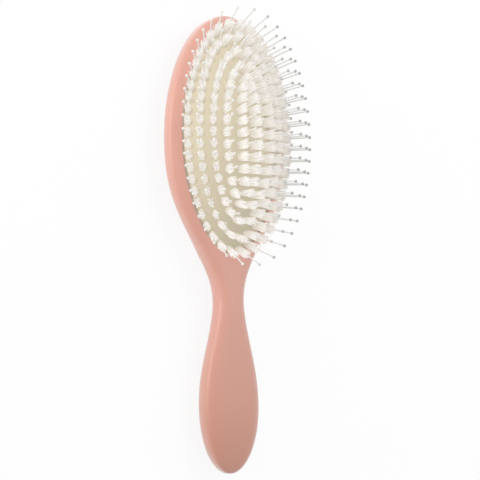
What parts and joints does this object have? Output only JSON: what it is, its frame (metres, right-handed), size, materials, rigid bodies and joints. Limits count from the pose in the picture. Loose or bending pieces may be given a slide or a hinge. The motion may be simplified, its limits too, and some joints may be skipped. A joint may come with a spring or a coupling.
{
  "type": "detangling brush",
  "caption": "Oval air-cushion detangling brush with a smooth one-piece body, domed rubber cushion, bristle tufts and ball-tipped pins.",
  "frame": {"origin": "under the middle of the whole brush, on the surface that it lies on", "axes": "+X across the brush, to the right for someone who looks down at the bristles with the head away from them; +Y along the handle towards the head; +Z the way the bristles point"},
  "size_m": [0.0794, 0.2329, 0.0458],
  "materials": {
    "body_coat": "soft-touch matt coating, dusty coral pink",
    "cushion_rubber": "matt moulded rubber, cream",
    "tuft_nylon": "satin nylon, warm white, slightly translucent"
  },
  "bodies": {
    "body": {"back_shell": "body_coat", "front_shell": "body_coat", "cushion_pad": "cushion_rubber"},
    "ring_1": {"tuft_ring_1": "tuft_nylon"},
    "ring_2": {"tuft_ring_2": "tuft_nylon"},
    "ring_3": {"tuft_ring_3": "tuft_nylon"},
    "ring_4": {"tuft_ring_4": "tuft_nylon"},
    "ring_5": {"tuft_ring_5": "tuft_nylon"}
  },
  "joints": [
    {"name": "cushion_press", "type": "slide", "parent": "body", "child": "ring_5", "axis": [0, 0, -1], "range_m": [0, 0.004], "stiffness_N_per_m": 150, "deforming": ["cushion_pad"]},
    {"name": "ring_4_give", "type": "slide", "parent": "body", "child": "ring_4", "axis": [0, 0, -1], "range_m": [0, 0.00358]},
    {"name": "ring_3_give", "type": "slide", "parent": "body", "child": "ring_3", "axis": [0, 0, -1], "range_m": [0, 0.00286]},
    {"name": "ring_2_give", "type": "slide", "parent": "body", "child": "ring_2", "axis": [0, 0, -1], "range_m": [0, 0.00198]},
    {"name": "ring_1_give", "type": "slide", "parent": "body", "child": "ring_1", "axis": [0, 0, -1], "range_m": [0, 0.00106]}
  ],
  "couplings": [
    {"joint": "ring_4_give", "follows": "cushion_press", "ratio": 0.87},
    {"joint": "ring_3_give", "follows": "cushion_press", "ratio": 0.69},
    {"joint": "ring_2_give", "follows": "cushion_press", "ratio": 0.47},
    {"joint": "ring_1_give", "follows": "cushion_press", "ratio": 0.24}
  ]
}
